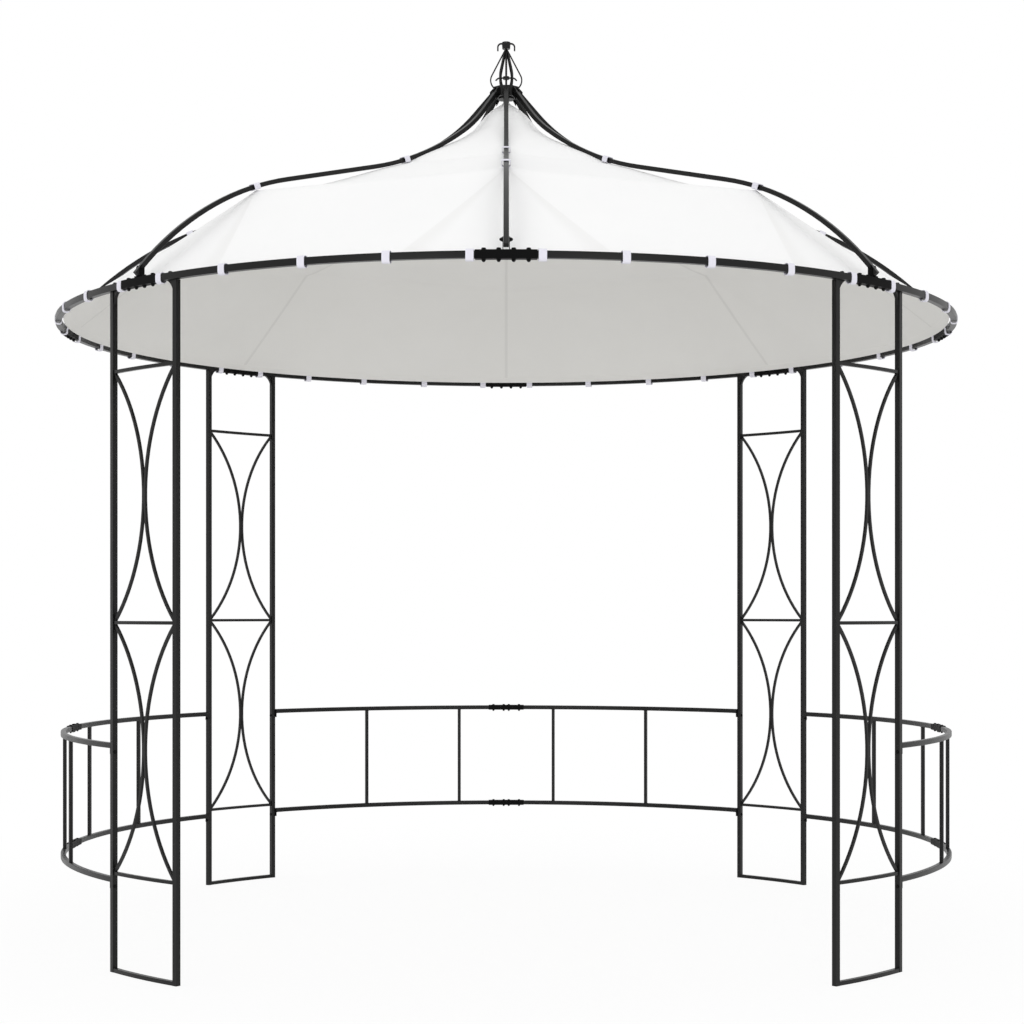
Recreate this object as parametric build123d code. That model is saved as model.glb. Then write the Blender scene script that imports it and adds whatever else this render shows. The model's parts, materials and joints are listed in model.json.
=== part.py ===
from build123d import *
import os
from math import asin, cos, degrees, radians, sin, sqrt, tan

# Round garden gazebo in millimetres, +Z up.
# Origin on the ground at the middle, open entrance towards -Y, angles counted from there towards +X.

# Overall
ring_diameter = 3000
ring_height = 2009
rib_count = 8
fit_gap = 0.3
overrun = 20
rod_sides = 4
turning_sides = 16

# Ring and its joint sleeves
ring_tube = 20
joint_wall = 1.8
joint_length = 166

# Leg panels
post_size = 16
post_inset = 6
post_spacing = 312
top_bar_drop = 246
low_bar_height = 291
cross_bar = 10
base_bar_tall = 12
base_bar_wide = 14
rod_diameter = 8
rod_weld = 0.6
post_flare_reach = 26
post_flare_drop = 38
post_flare_depth = 10
flare_out_share = 0.32
flare_down_share = 0.41

# Railings
rail_tube = 16
rail_inset = 15
top_rail_height = 664
bottom_rail_height = 269
baluster_diameter = 12
baluster_spacing = 391
balusters_per_half = 2
rail_tab_thickness = 3
rail_tab_height = 32
rail_tab_margin = 2
rail_joint_wall = 1.6
rail_joint_length = 145

# Ribs
rib_width = 15
rib_depth = 14
rib_foot_outset = 16
rib_foot_lift = 21
foot_slope = radians(50.7)
middle_slope = radians(15)
waist_slope = radians(35.2)
top_slope = radians(49.4)
lower_bend_radius = 1074
waist_bend_radius = 1256
crown_bend_radius = 491
rib_tail = 101

# Rib brackets on the joint sleeves
ear_thickness = 2
ear_width = 16
pivot_from_foot = 25

# Hub
hub_flat_radius = 43
hub_rise = 18
hub_drop = 21
hub_boss_radius = 28
hub_boss_rise = 2
hub_plate_radius = 26
hub_plate_thickness = 4
lug_thickness = 2
lug_reach = 13
lug_root = 1
lug_margin = 4

# Finial
finial_wire = 4.4
finial_rod = 6.4
finial_spindle = 7
cage_bulge_radius = 53
cage_bulge_rise = 24
cage_bend_radius = 35
cage_tip_radius = 4
inner_bulge_radius = 28
inner_bulge_rise = 34
inner_bend_radius = 80
inner_tip_radius = 5
inner_tip_drop = 8
cage_height = 131
knot_radius = 11
knot_thickness = 9
knot_rise = 32
arm_reach = 36
arm_drop = 9
arm_bend = 14
cap_top_radius = 15
cap_bottom_radius = 13.5
cap_height = 23
cap_edge = 1.5
hook_reach = 28.5
hook_drop = 25
hook_bend = 12
hook_wire = 5
hook_below_top = 5

# Canopy and straps
upper_strap_radius = 464
lower_strap_radius = 1076
strap_drop = 18
strap_seat_gap = 1
strap_seat_width = 4
strap_width = 22
webbing = 1.2
cloth_thickness = 2
hem_inset = 24
hem_lift = 6
hem_chords = 8
peak_below_hub = 3
peak_sag = 36
seam_gap = 0.3
strap_clearance = 3
middle_strap_shares = (0.276, 0.485, 0.706)


def along_bend(start, start_slope, bend_radius, slope):
    """Radius and height on a bend of the rib's centre line, where it has a given slope."""
    inwards = bend_radius * abs(sin(slope) - sin(start_slope))
    upwards = bend_radius * abs(cos(slope) - cos(start_slope))
    return start[0] - inwards, start[1] + upwards


# Derived places
pitch = 360 / rib_count
ring_radius = (ring_diameter - ring_tube) / 2
ring_bottom = ring_height - ring_tube / 2
top_bar_height = ring_height - top_bar_drop
middle_bar_height = (top_bar_height + low_bar_height) / 2
post_radius = ring_radius - post_inset
post_half_angle = degrees(asin(post_spacing / 2 / post_radius))
panel_plane = post_radius * cos(radians(post_half_angle))
rail_radius = post_radius - (rail_inset - post_inset)
side_half_angle = pitch - post_half_angle
baluster_angle = degrees(baluster_spacing / rail_radius)
joint_outer = ring_tube + 2 * (fit_gap + joint_wall)
joint_top = ring_height + joint_outer / 2

# Rib line, from the foot over the ring to the flat of the hub, as radius and height
rib_foot = (ring_radius + rib_foot_outset, ring_height + rib_foot_lift)
low_bend_end = along_bend(rib_foot, foot_slope, lower_bend_radius, middle_slope)
crown_span = crown_bend_radius * (sin(top_slope) - sin(waist_slope))
waist_span = waist_bend_radius * (sin(waist_slope) - sin(middle_slope))
waist_radius = hub_flat_radius + rib_tail * cos(top_slope) + crown_span + waist_span
waist_start = (waist_radius, low_bend_end[1] + (low_bend_end[0] - waist_radius) * tan(middle_slope))
crown_start = along_bend(waist_start, middle_slope, waist_bend_radius, waist_slope)
tail_start = along_bend(crown_start, waist_slope, crown_bend_radius, top_slope)
rib_end_height = tail_start[1] + rib_tail * sin(top_slope)
upper_strap_slope = asin(sin(middle_slope) + (waist_radius - upper_strap_radius) / waist_bend_radius)
upper_strap_place = along_bend(waist_start, middle_slope, waist_bend_radius, upper_strap_slope)
lower_strap_slope = asin(sin(foot_slope) - (rib_foot[0] - lower_strap_radius) / lower_bend_radius)
lower_strap_place = along_bend(rib_foot, foot_slope, lower_bend_radius, lower_strap_slope)

hub_top = rib_end_height + hub_rise
hub_bottom = rib_end_height - hub_drop
finial_base = hub_top + hub_boss_rise
cap_base = finial_base + cage_height
end_strap_angle = degrees((joint_length / 2 + strap_clearance + strap_width / 2) / ring_radius)
strap_angles = [end_strap_angle, *(share * pitch for share in middle_strap_shares), pitch - end_strap_angle]

positions = {
    "front": 0,
    "front_right": pitch,
    "right": 2 * pitch,
    "back_right": 3 * pitch,
    "back": 4 * pitch,
    "back_left": 5 * pitch,
    "left": 6 * pitch,
    "front_left": 7 * pitch,
}

# Upright plane through the middle and the front, x outwards and y upwards
radial_plane = Plane(origin=(0, 0, 0), x_dir=(0, -1, 0), z_dir=(-1, 0, 0))


def turned(shape, angle):
    return Rot(0, 0, angle) * shape


def radial_point(radius, height):
    return Vector(0, -radius, height)


def turned_point(angle, radius, height):
    """Point at an angle in radians from the front."""
    return Vector(radius * sin(angle), -radius * cos(angle), height)


def arc_bar(radius, height, wide, tall, start, end):
    """A box bar bent round the middle of the gazebo."""
    section = radial_plane * Pos(radius, height) * Rectangle(wide, tall)
    return turned(revolve(section, Axis.Z, end - start), start)


def arc_sleeve(radius, height, tube, wall, length):
    """A short bent sleeve that slips over two tube ends, centred on the front."""
    inside = tube + 2 * fit_gap
    outside = inside + 2 * wall
    section = radial_plane * Pos(radius, height) * (Rectangle(outside, outside) - Rectangle(inside, inside))
    arc = degrees(length / radius)
    return turned(revolve(section, Axis.Z, arc), -arc / 2)


def rod_section(diameter):
    """Few-sided outline of a thin rod, with flats that face along y."""
    return RegularPolygon(diameter / 2, rod_sides, major_radius=False, rotation=90 - 180 / rod_sides)


def turning_section(radius):
    """Many-sided outline of a small turned piece."""
    return RegularPolygon(radius, turning_sides)


def wire_rod(path, diameter, aside):
    """Thin rod along a flat path, whose plane faces aside."""
    start = Plane(origin=path @ 0, x_dir=aside, z_dir=path % 0)
    return sweep(start * rod_section(diameter), path=path)


def leg_panel():
    """Welded leg panel: two posts, cross bars, a base bar and two pairs of bowed rods."""
    shape = Part()
    post = extrude(Pos(0, -post_radius) * Rectangle(post_size, post_size), ring_bottom)
    for side in (-1, 1):
        shape += turned(post, side * post_half_angle)
        shape += turned(post_flare(-side), side * post_half_angle)
    for height in (top_bar_height, middle_bar_height, low_bar_height):
        shape += arc_bar(post_radius, height, cross_bar, cross_bar, -post_half_angle, post_half_angle)
    shape += arc_bar(
        post_radius, base_bar_tall / 2, base_bar_wide, base_bar_tall, -post_half_angle, post_half_angle
    )
    bays = ((top_bar_height, middle_bar_height), (middle_bar_height, low_bar_height))
    for upper, lower in bays:
        for side in (-1, 1):
            shape += bowed_rod(side, upper, lower)
    return shape


def post_flare(side):
    """Curved flare from a post's inner face out along the underside of the ring."""
    face_x = side * post_size / 2
    corner = (face_x, ring_bottom)
    tip = (face_x + side * post_flare_reach, ring_bottom)
    foot = (face_x, ring_bottom - post_flare_drop)
    belly = (
        face_x + side * post_flare_reach * flare_out_share,
        ring_bottom - post_flare_drop * flare_down_share,
    )
    outline = Line(corner, tip) + ThreePointArc(tip, belly, foot) + Line(foot, corner)
    face = Plane.XZ * make_face(outline)
    return Pos(0, -post_radius, 0) * extrude(face, post_flare_depth / 2, both=True)


def bowed_rod(side, upper, lower):
    """Rod that bows from two corners of a bay in to the middle of the panel."""
    corner_x = side * (post_spacing - post_size) / 2
    middle_x = side * (rod_diameter - rod_weld) / 2
    path = ThreePointArc(
        (corner_x, -panel_plane, upper - cross_bar / 2),
        (middle_x, -panel_plane, (upper + lower) / 2),
        (corner_x, -panel_plane, lower + cross_bar / 2),
    )
    return wire_rod(path, rod_diameter, (0, 1, 0))


def ring_segment():
    """One eighth of the ring tube, from one joint to the next."""
    arc = pitch - degrees(fit_gap / ring_radius)
    return arc_bar(ring_radius, ring_height, ring_tube, ring_tube, 0, arc)


def rib_cheeks(outline, thickness):
    """Pair of plates, one on each side of a rib."""
    plate = extrude(outline, thickness)
    inside = rib_width / 2 + fit_gap
    return [Pos(-inside, 0, 0) * plate, Pos(inside + thickness, 0, 0) * plate]


def ring_joint():
    """Sleeve over two ring ends with a pair of ears that hold a rib."""
    shape = arc_sleeve(ring_radius, ring_height, ring_tube, joint_wall, joint_length)
    pivot_radius = rib_foot[0] - pivot_from_foot * cos(foot_slope)
    pivot_height = rib_foot[1] + pivot_from_foot * sin(foot_slope)
    ear_base = Pos(ring_radius, joint_top - joint_wall / 2) * Rectangle(ear_width, joint_wall)
    ear_head = Pos(pivot_radius, pivot_height) * turning_section(ear_width / 2)
    ear_face = radial_plane * make_hull(ear_base.edges() + ear_head.edges())
    return shape + rib_cheeks(ear_face, ear_thickness)


def rib_path():
    """Ogee line of a rib: a bulge over the ring, a straight run, a hollow waist and a steep crown."""
    lower_middle = along_bend(rib_foot, foot_slope, lower_bend_radius, (foot_slope + middle_slope) / 2)
    waist_middle = along_bend(waist_start, middle_slope, waist_bend_radius, (middle_slope + waist_slope) / 2)
    crown_middle = along_bend(crown_start, waist_slope, crown_bend_radius, (waist_slope + top_slope) / 2)
    past_hub = (hub_flat_radius - overrun * cos(top_slope), rib_end_height + overrun * sin(top_slope))
    foot, low, waist, crown, tail, end = (
        radial_point(*place)
        for place in (rib_foot, low_bend_end, waist_start, crown_start, tail_start, past_hub)
    )
    return Wire([
        ThreePointArc(foot, radial_point(*lower_middle), low),
        Line(low, waist),
        ThreePointArc(waist, radial_point(*waist_middle), crown),
        ThreePointArc(crown, radial_point(*crown_middle), tail),
        Line(tail, end),
    ])


def rib():
    """Bent box tube cut off upright where it meets a flat of the hub."""
    path = rib_path()
    section = Plane(origin=path @ 0, x_dir=(1, 0, 0), z_dir=path % 0)
    tube = sweep(section * Rectangle(rib_width, rib_depth), path=path)
    hub_flat = Plane(origin=(0, -hub_flat_radius, 0), z_dir=(0, -1, 0))
    return split(tube, bisect_by=hub_flat, keep=Keep.TOP)


def hub():
    """Eight-sided boss with a pair of lugs for each rib, a round foot plate and a top boss."""
    body = RegularPolygon(hub_flat_radius, rib_count, major_radius=False, rotation=pitch / 2)
    body_bottom = hub_bottom + hub_plate_thickness
    shape = extrude(Pos(0, 0, body_bottom) * body, hub_top - body_bottom)
    shape += extrude(Pos(0, 0, hub_bottom) * turning_section(hub_plate_radius), hub_plate_thickness)
    shape += extrude(Pos(0, 0, hub_top) * turning_section(hub_boss_radius), hub_boss_rise)
    lug_half = (rib_depth / 2 + lug_margin) / cos(top_slope)
    lug_root_radius = hub_flat_radius - lug_root
    lug_tip_radius = hub_flat_radius + lug_reach
    lug_tip_height = rib_end_height - lug_reach * tan(top_slope)
    lug_face = radial_plane * make_face(Polyline(
        (lug_root_radius, rib_end_height - lug_half),
        (lug_tip_radius, lug_tip_height - lug_half),
        (lug_tip_radius, lug_tip_height + lug_half),
        (lug_root_radius, rib_end_height + lug_half),
        close=True,
    ))
    for angle in positions.values():
        shape += [turned(lug, angle) for lug in rib_cheeks(lug_face, lug_thickness)]
    return shape


def tangent_from(tip, centre, radius):
    """Outer point of a circle whose tangent passes through the tip, both in radius and height."""
    across = tip[0] - centre[0]
    up = tip[1] - centre[1]
    reach = across * across + up * up
    along = radius * radius / reach
    aside = radius * sqrt(reach - radius * radius) / reach
    return centre[0] + along * across + aside * up, centre[1] + along * up - aside * across


def cage_wire(diameter, seat, bulge_radius, bulge_height, bend, tip):
    """Wire of the finial cage, cut flat on its seat: round at the bulge, straight to the tip."""
    centre = (bulge_radius - bend, bulge_height)
    leave = tangent_from(tip, centre, bend)
    foot_height = seat - diameter
    foot_radius = centre[0] + sqrt(bend ** 2 - (bulge_height - foot_height) ** 2)
    path = Wire([
        ThreePointArc(
            radial_point(foot_radius, foot_height),
            radial_point(bulge_radius, bulge_height),
            radial_point(*leave),
        ),
        Line(radial_point(*leave), radial_point(*tip)),
    ])
    wire = wire_rod(path, diameter, (1, 0, 0))
    return split(wire, bisect_by=Plane.XY.offset(seat), keep=Keep.TOP)


def finial_cage():
    """Open cage of four thin wires round four thicker rods and a spindle with a cross of arms."""
    outer = cage_wire(
        finial_wire, hub_top, cage_bulge_radius, finial_base + cage_bulge_rise,
        cage_bend_radius, (cage_tip_radius, cap_base - finial_wire),
    )
    inner = cage_wire(
        finial_rod, finial_base, inner_bulge_radius, finial_base + inner_bulge_rise,
        inner_bend_radius, (inner_tip_radius, cap_base - inner_tip_drop),
    )
    knot_height = finial_base + knot_rise
    arm = wire_rod(
        FilletPolyline(
            radial_point(0, knot_height),
            radial_point(arm_reach - arm_drop, knot_height),
            radial_point(arm_reach, knot_height - arm_drop),
            radius=arm_bend,
        ),
        finial_wire,
        (1, 0, 0),
    )
    shape = extrude(Pos(0, 0, finial_base) * rod_section(finial_spindle), cage_height)
    shape += extrude(Pos(0, 0, knot_height) * turning_section(knot_radius), knot_thickness / 2, both=True)
    for quarter in range(4):
        angle = quarter * 2 * pitch
        shape += turned(outer, angle)
        shape += turned(inner, angle + pitch)
        shape += turned(arm, angle)
    return shape


def finial_cap():
    """Tapered cap with four drooping hooks."""
    cap_top = cap_base + cap_height
    steps = (
        (cap_bottom_radius, cap_base),
        (cap_top_radius, cap_top - cap_edge),
        (cap_top_radius - cap_edge, cap_top),
    )
    shape = loft([Pos(0, 0, height) * turning_section(radius) for radius, height in steps], ruled=True)
    start = cap_top - hook_below_top
    hook = wire_rod(
        FilletPolyline(
            radial_point(0, start),
            radial_point(hook_reach, start),
            radial_point(hook_reach, start - hook_drop),
            radius=hook_bend,
        ),
        hook_wire,
        (1, 0, 0),
    )
    for quarter in range(4):
        shape += turned(hook, quarter * 2 * pitch)
    return shape


def half_railing():
    """Half of one side's railing, from a post to the joint in the middle of the side."""
    post_angle = -side_half_angle
    start = post_angle + degrees((post_size / 2 + rail_tab_thickness / 2) / rail_radius)
    end = -degrees(fit_gap / 2 / rail_radius)
    tab_inner = rail_radius - rail_tube / 2 + rail_tab_margin
    tab_outer = post_radius + post_size / 2
    tab_x = (post_size + rail_tab_thickness) / 2
    shape = Part()
    for height in (bottom_rail_height, top_rail_height):
        shape += arc_bar(rail_radius, height, rail_tube, rail_tube, start, end)
        tab = Box(rail_tab_thickness, tab_outer - tab_inner, rail_tab_height)
        tab_middle = height + (rail_tube - rail_tab_height) / 2
        shape += turned(Pos(tab_x, -(tab_inner + tab_outer) / 2, tab_middle) * tab, post_angle)
    baluster = extrude(
        Pos(0, -rail_radius, bottom_rail_height) * rod_section(baluster_diameter),
        top_rail_height - bottom_rail_height,
    )
    for number in range(balusters_per_half):
        shape += turned(baluster, -(number + 1 / 2) * baluster_angle)
    return shape


def rail_joints():
    """Upper and lower sleeve in the middle of one side's railing."""
    return [
        arc_sleeve(rail_radius, height, rail_tube, rail_joint_wall, rail_joint_length)
        for height in (bottom_rail_height, top_rail_height)
    ]


def below_rib(place, slope, drop):
    """Point under the rib's centre line, square to it."""
    return place[0] - drop * sin(slope), place[1] - drop * cos(slope)


def canopy_panel():
    """One of the eight panels of cloth: hollow at the top, flat in the middle, fanned to the hem."""
    half = radians(pitch / 2)
    drop = strap_drop + strap_seat_gap
    upper = below_rib(upper_strap_place, upper_strap_slope, drop)
    lower = below_rib(lower_strap_place, lower_strap_slope, drop)
    peak_height = hub_bottom - peak_below_hub
    belly = (upper[0] / 2, (peak_height + upper[1]) / 2 - peak_sag)
    ridge = [(0, peak_height), belly, upper, lower]
    over = [(radius * cos(half), height) for radius, height in ridge]
    under = [(radius, height - cloth_thickness) for radius, height in over]
    outline = (
        ThreePointArc(*over[:3])
        + Line(over[2], over[3])
        + Line(over[3], under[3])
        + Line(under[3], under[2])
        + ThreePointArc(under[2], under[1], under[0])
        + Line(under[0], over[0])
    )
    shape = extrude(radial_plane * make_face(outline), ring_radius, both=True)
    corners = [turned_point(side * half, *lower) for side in (-1, 1)]
    hem = [
        turned_point((2 * step / hem_chords - 1) * half, ring_radius - hem_inset, ring_height + hem_lift)
        for step in range(hem_chords + 1)
    ]
    facets = [(corners[0], corners[1], hem[hem_chords // 2])]
    for step in range(hem_chords):
        facets.append((corners[2 * step // hem_chords], hem[step], hem[step + 1]))
    for facet in facets:
        shape += extrude(make_face(Polyline(*facet, close=True)), cloth_thickness, dir=(0, 0, -1))
    wedge_reach = ring_diameter
    wedge_tip = seam_gap / 2 / sin(half)
    wedge_half = wedge_reach * tan(half)
    wedge_end = wedge_tip + wedge_reach
    wedge = make_face(Polyline(
        (0, -wedge_tip), (wedge_half, -wedge_end), (-wedge_half, -wedge_end), close=True
    ))
    return shape & extrude(wedge, finial_base)


def rib_strap(place, slope):
    """Webbing loop round a rib with a tail down to the seam of the canopy."""
    inside = (rib_width + 2 * fit_gap, rib_depth + 2 * fit_gap)
    loop = Rectangle(inside[0] + 2 * webbing, inside[1] + 2 * webbing) - Rectangle(*inside)
    tail_top = -(rib_depth / 2 + fit_gap + webbing / 2)
    loop += Pos(0, (tail_top - strap_drop) / 2) * Rectangle(2 * webbing, strap_drop + tail_top)
    along = Plane(
        origin=radial_point(*place), x_dir=(-1, 0, 0), z_dir=Vector(0, cos(slope), sin(slope))
    )
    return extrude(along * loop, strap_width / 2, both=True)


def ring_strap():
    """Webbing loop round the ring with a tail up to the hem of the canopy."""
    inside = ring_tube + 2 * fit_gap
    around = inside + 2 * webbing
    loop = Rectangle(around, around) - Rectangle(inside, inside)
    hem_outer = -hem_inset
    hem_under = hem_lift - cloth_thickness - fit_gap
    loop_face = webbing / 2 - around / 2
    loop += make_face(Polyline(
        (hem_outer, hem_under),
        (hem_outer - strap_seat_width, hem_under),
        (loop_face, 0),
        (loop_face, inside / 2),
        close=True,
    ))
    section = radial_plane * Pos(ring_radius, ring_height) * loop
    return extrude(section, strap_width / 2, both=True)


def save(name, shapes):
    """Write one node, made of one shape or of several that don't touch."""
    kept = Compound(children=list(shapes)) if isinstance(shapes, (list, tuple)) else shapes
    kept.label = name
    export_step(kept, os.path.join("parts", name + ".step"))


os.makedirs("parts", exist_ok=True)

panel = leg_panel()
for corner in ("front_left", "front_right", "back_left", "back_right"):
    save("leg_panel_" + corner, turned(panel, positions[corner]))

segment = ring_segment()
joint = ring_joint()
one_rib = rib()
for number, (place, angle) in enumerate(positions.items(), start=1):
    save("ring_segment_" + str(number), turned(segment, angle))
    save("ring_joint_" + place, turned(joint, angle))
    save("rib_" + place, turned(one_rib, angle))

save("roof_hub", hub())
save("finial_cage", finial_cage())
save("finial_cap", finial_cap())

first_half = half_railing()
second_half = mirror(first_half, Plane.YZ)
sides = {"right": ("front", "back"), "back": ("right", "left"), "left": ("back", "front")}
for side, (first_end, second_end) in sides.items():
    angle = positions[side]
    save("railing_" + side + "_" + first_end, turned(first_half, angle))
    save("railing_" + side + "_" + second_end, turned(second_half, angle))
    save("rail_joints_" + side, [turned(sleeve, angle) for sleeve in rail_joints()])

angles = list(positions.values())
cloth = canopy_panel()
save("canopy", [turned(cloth, angle + pitch / 2) for angle in angles])

upper_strap = rib_strap(upper_strap_place, upper_strap_slope)
lower_strap = rib_strap(lower_strap_place, lower_strap_slope)
save("rib_straps", [turned(strap, angle) for angle in angles for strap in (upper_strap, lower_strap)])

hem_strap = ring_strap()
strap_places = [angle + step for angle in angles[:rib_count // 2] for step in strap_angles]
save("ring_straps", [turned(hem_strap, side * place) for side in (-1, 1) for place in strap_places])
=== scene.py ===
import bpy
import bmesh
import json
from math import atan2, cos, hypot, pi, radians, sin, tau
from mathutils import Matrix, Vector
from random import Random

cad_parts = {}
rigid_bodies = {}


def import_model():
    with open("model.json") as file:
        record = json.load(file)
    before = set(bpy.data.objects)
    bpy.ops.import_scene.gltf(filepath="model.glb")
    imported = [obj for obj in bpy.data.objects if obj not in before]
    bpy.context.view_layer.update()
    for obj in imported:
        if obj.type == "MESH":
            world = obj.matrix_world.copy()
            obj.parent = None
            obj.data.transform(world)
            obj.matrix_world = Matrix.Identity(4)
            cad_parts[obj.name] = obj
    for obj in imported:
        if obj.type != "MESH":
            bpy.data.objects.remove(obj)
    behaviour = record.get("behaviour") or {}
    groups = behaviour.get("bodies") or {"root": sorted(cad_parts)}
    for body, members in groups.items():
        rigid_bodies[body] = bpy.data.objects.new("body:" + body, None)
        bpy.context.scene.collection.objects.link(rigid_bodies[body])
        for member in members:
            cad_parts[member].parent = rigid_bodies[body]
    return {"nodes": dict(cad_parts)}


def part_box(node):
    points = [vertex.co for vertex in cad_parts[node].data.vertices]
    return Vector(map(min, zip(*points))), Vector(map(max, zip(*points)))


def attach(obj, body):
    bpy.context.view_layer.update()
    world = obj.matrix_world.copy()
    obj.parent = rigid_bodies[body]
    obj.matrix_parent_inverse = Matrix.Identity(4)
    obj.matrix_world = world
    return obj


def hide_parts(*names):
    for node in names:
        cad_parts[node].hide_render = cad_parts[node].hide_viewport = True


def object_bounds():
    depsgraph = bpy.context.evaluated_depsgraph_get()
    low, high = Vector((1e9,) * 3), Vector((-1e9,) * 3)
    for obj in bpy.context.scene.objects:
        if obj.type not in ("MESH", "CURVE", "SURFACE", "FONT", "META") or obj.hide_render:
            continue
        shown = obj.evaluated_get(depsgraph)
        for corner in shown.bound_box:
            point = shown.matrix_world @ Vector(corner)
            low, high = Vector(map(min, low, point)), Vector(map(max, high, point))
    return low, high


# Round garden gazebo: dark powder coated steel, a white cloth canopy and webbing straps.
# Metres, +Z up, entrance towards -Y, angles counted from there towards +X.

for leftover in list(bpy.data.objects):
    bpy.data.objects.remove(leftover)

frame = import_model()
cad_low, cad_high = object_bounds()

# Sizes read from the frame
rib_count = 8
gore = tau / rib_count
ring_low, ring_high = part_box("ring_segment_1")
ring_half = (ring_high.z - ring_low.z) / 2
ring_height = (ring_high.z + ring_low.z) / 2
ring_radius = -ring_low.y - ring_half
joint_low, joint_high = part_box("ring_joint_front")
joint_half = ring_height - joint_low.z
rib_half_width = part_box("rib_front")[1].x
rail_low, rail_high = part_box("rail_joints_back")
rail_sleeve_half = 0.0099
rail_radius = rail_high.y - rail_sleeve_half
canopy_low, canopy_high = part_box("canopy")

# Canopy cloth, drawn out a little past its solid to lie close to the ring
hem_stretch = 0.008
hem_radius = canopy_high.x + hem_stretch
hem_height = canopy_low.z
peak_height = canopy_high.z
upper_strap_radius = 0.464
lower_strap_radius = 1.076
ridge_drop = 0.0115
peak_sag = 0.037
middle_sag = 0.020
sag_scale = 27 / 4
crown_bulge = 0.018
crown_reach = 0.125
crown_round = 0.26
lower_belly = 0.003
fan_angle = radians(11.5)
cloth_thickness = 0.0012
main_columns = 24
fan_columns = 8
peak_rows = 26
middle_rows = 22
lower_rows = 20

# Seams and hem
seam_half_width = 0.006
seam_shares = (-1, -0.5, 0, 0.5, 1)
seam_thickness = 0.0004
seam_top_lift = 0.0003
seam_under_lift = -0.0014
hem_width = 0.030

# Webbing straps
strap_width = 0.022
webbing = 0.0018
loop_steps = 44
end_strap_arc = 0.097
middle_strap_shares = (0.276, 0.485, 0.706)
ring_strap_top = 0.0140
ring_strap_bottom = 0.0158
ring_strap_side = 0.0102
ring_strap_start = pi * 0.80
ring_strap_turn = -tau * 0.91
ring_strap_squareness = 3.4
ring_strap_slack = (-0.0006, 0.0010)
ring_strap_lean = 0.02
ring_strap_seed = 7
over_end_length = 0.010
over_end_reach = 0.001
over_end_lift = 0.0034
under_end_length = 0.009
under_end_lift = 0.0031
under_bend_reach = 0.0035
under_bend_lift = 0.0012
rib_strap_top = 0.0098
rib_strap_side = 0.0062
rib_strap_gap = 0.1
rib_strap_squareness = 6
rib_strap_slack = (0.0, 0.0012)
rib_strap_seed = 11

# Places of the bolts
ring_bolt_offsets = (-0.060, -0.020, 0.020, 0.060)
rail_bolt_offsets = (-0.053, -0.0105, 0.0105, 0.053)
ear_radius = 0.008
cheek = 0.0023
lug_bolt_radius = 0.050
lug_bolt_height = 2.8195
post_radius = 1.484
post_half = 0.008
post_from_corner = radians(6.035)
tab_thickness = 0.003
tab_bolt_drop = 0.017
flare_bolt_offset = 0.0185

# Bolt heads and nuts, as (width across the corners, height)
joint_bolt = (0.0125, 0.0062)
joint_nut = (0.0120, 0.0080)
flare_bolt = (0.0115, 0.0046)
ear_nut = (0.0110, 0.0086)
lug_nut = (0.0070, 0.0030)
rail_bolt = (0.0090, 0.0034)
rail_nut = (0.0090, 0.0058)
tab_nut = (0.0090, 0.0062)
washer_sides = 24
hexagon_sides = 6
dome_sides = 16
dome_steps = 6

# Corners of the tubes
corner_round = 0.0015
corner_segments = 2
corner_angle = radians(50)
weld_distance = 0.00001
smooth_angle = radians(40)

# Steel finish
skin_grain = 0.0016
skin_depth = 0.00012
bump_strength = 0.6

# Cloth finish, and the shade painted between its threads and into its fan folds
cloth_thread = 0.0007
webbing_thread = 0.0012
thread_relief_share = 1 / 3
slubs_per_metre = 260.0
# Share of the gap between threads painted into the colour as shade
gap_shade_share = 0.5
stitch_half_thread = 0.0002
stitch_dash_share = 0.7
stitch_tone_share = 1.04
stitch_tone_limit = 0.95
stitch_rise = 0.4
# Share of the cloth's tone left where shade is painted into the fan folds
painted_fold_shade_share = 0.93
cloth_roughness = (0.72, 0.86)
cloth_sheen = 0.2

# Painted shade of the fan folds, from and to, as shares of the fan's reach across and of its fall
fold_rise_shares = (0.25, 0.85)
fold_end_shares = (1.08, 0.98)
fold_top_shares = (0.02, 0.12)

# Floor and light
floor_radius = 40
floor_sides = 96
floor_tone = 0.90
floor_fade_start = 1.2
floor_fade_end = 3.4
floor_white_near = 0.90
floor_white_far = 1.0
surround_light = 0.98
surround_white = 1.0

# Softboxes, as place, aim, size and power
softboxes = {
    "overhead_softbox": ((0, 0.4, 9.0), (0, 0, 2.2), 4.5, 30),
    "left_softbox": ((-3.5, -9.5, 1.4), (0, 0, 1.8), 3.0, 75),
    "right_softbox": ((3.5, -9.5, 1.4), (0, 0, 1.8), 3.0, 75),
}

# Camera
camera_place = (0, -6.773, 1.055)
camera_lens = 69.81
camera_shift = (0.00566, 0.0987)


def around(angle, radius=0.0, height=0.0):
    """Place turned to an angle about the middle: its own -Y points outwards, its Z up."""
    return Matrix.Rotation(angle, 4, "Z") @ Matrix.Translation((0, -radius, height))


def add_piece(name, mesh, slot, *materials):
    """Put a mesh in the scene as a piece of the gazebo."""
    piece = bpy.data.objects.new(name, mesh)
    bpy.context.scene.collection.objects.link(piece)
    for material in materials:
        mesh.materials.append(material)
    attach(piece, "root")
    return piece


def thicken(bm, thickness):
    """Give open sheets real thickness, grown against the way they face."""
    bm.normal_update()
    bmesh.ops.solidify(bm, geom=bm.faces[:], thickness=thickness)


def mesh_from(name, bm):
    """Finish a bmesh: outward faces, smooth shading with sharp edges kept."""
    bmesh.ops.recalc_face_normals(bm, faces=bm.faces)
    mesh = bpy.data.meshes.new(name)
    bm.to_mesh(mesh)
    bm.free()
    mesh.shade_smooth()
    mesh.set_sharp_from_angle(angle=smooth_angle)
    return mesh


# Shader groups

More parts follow.
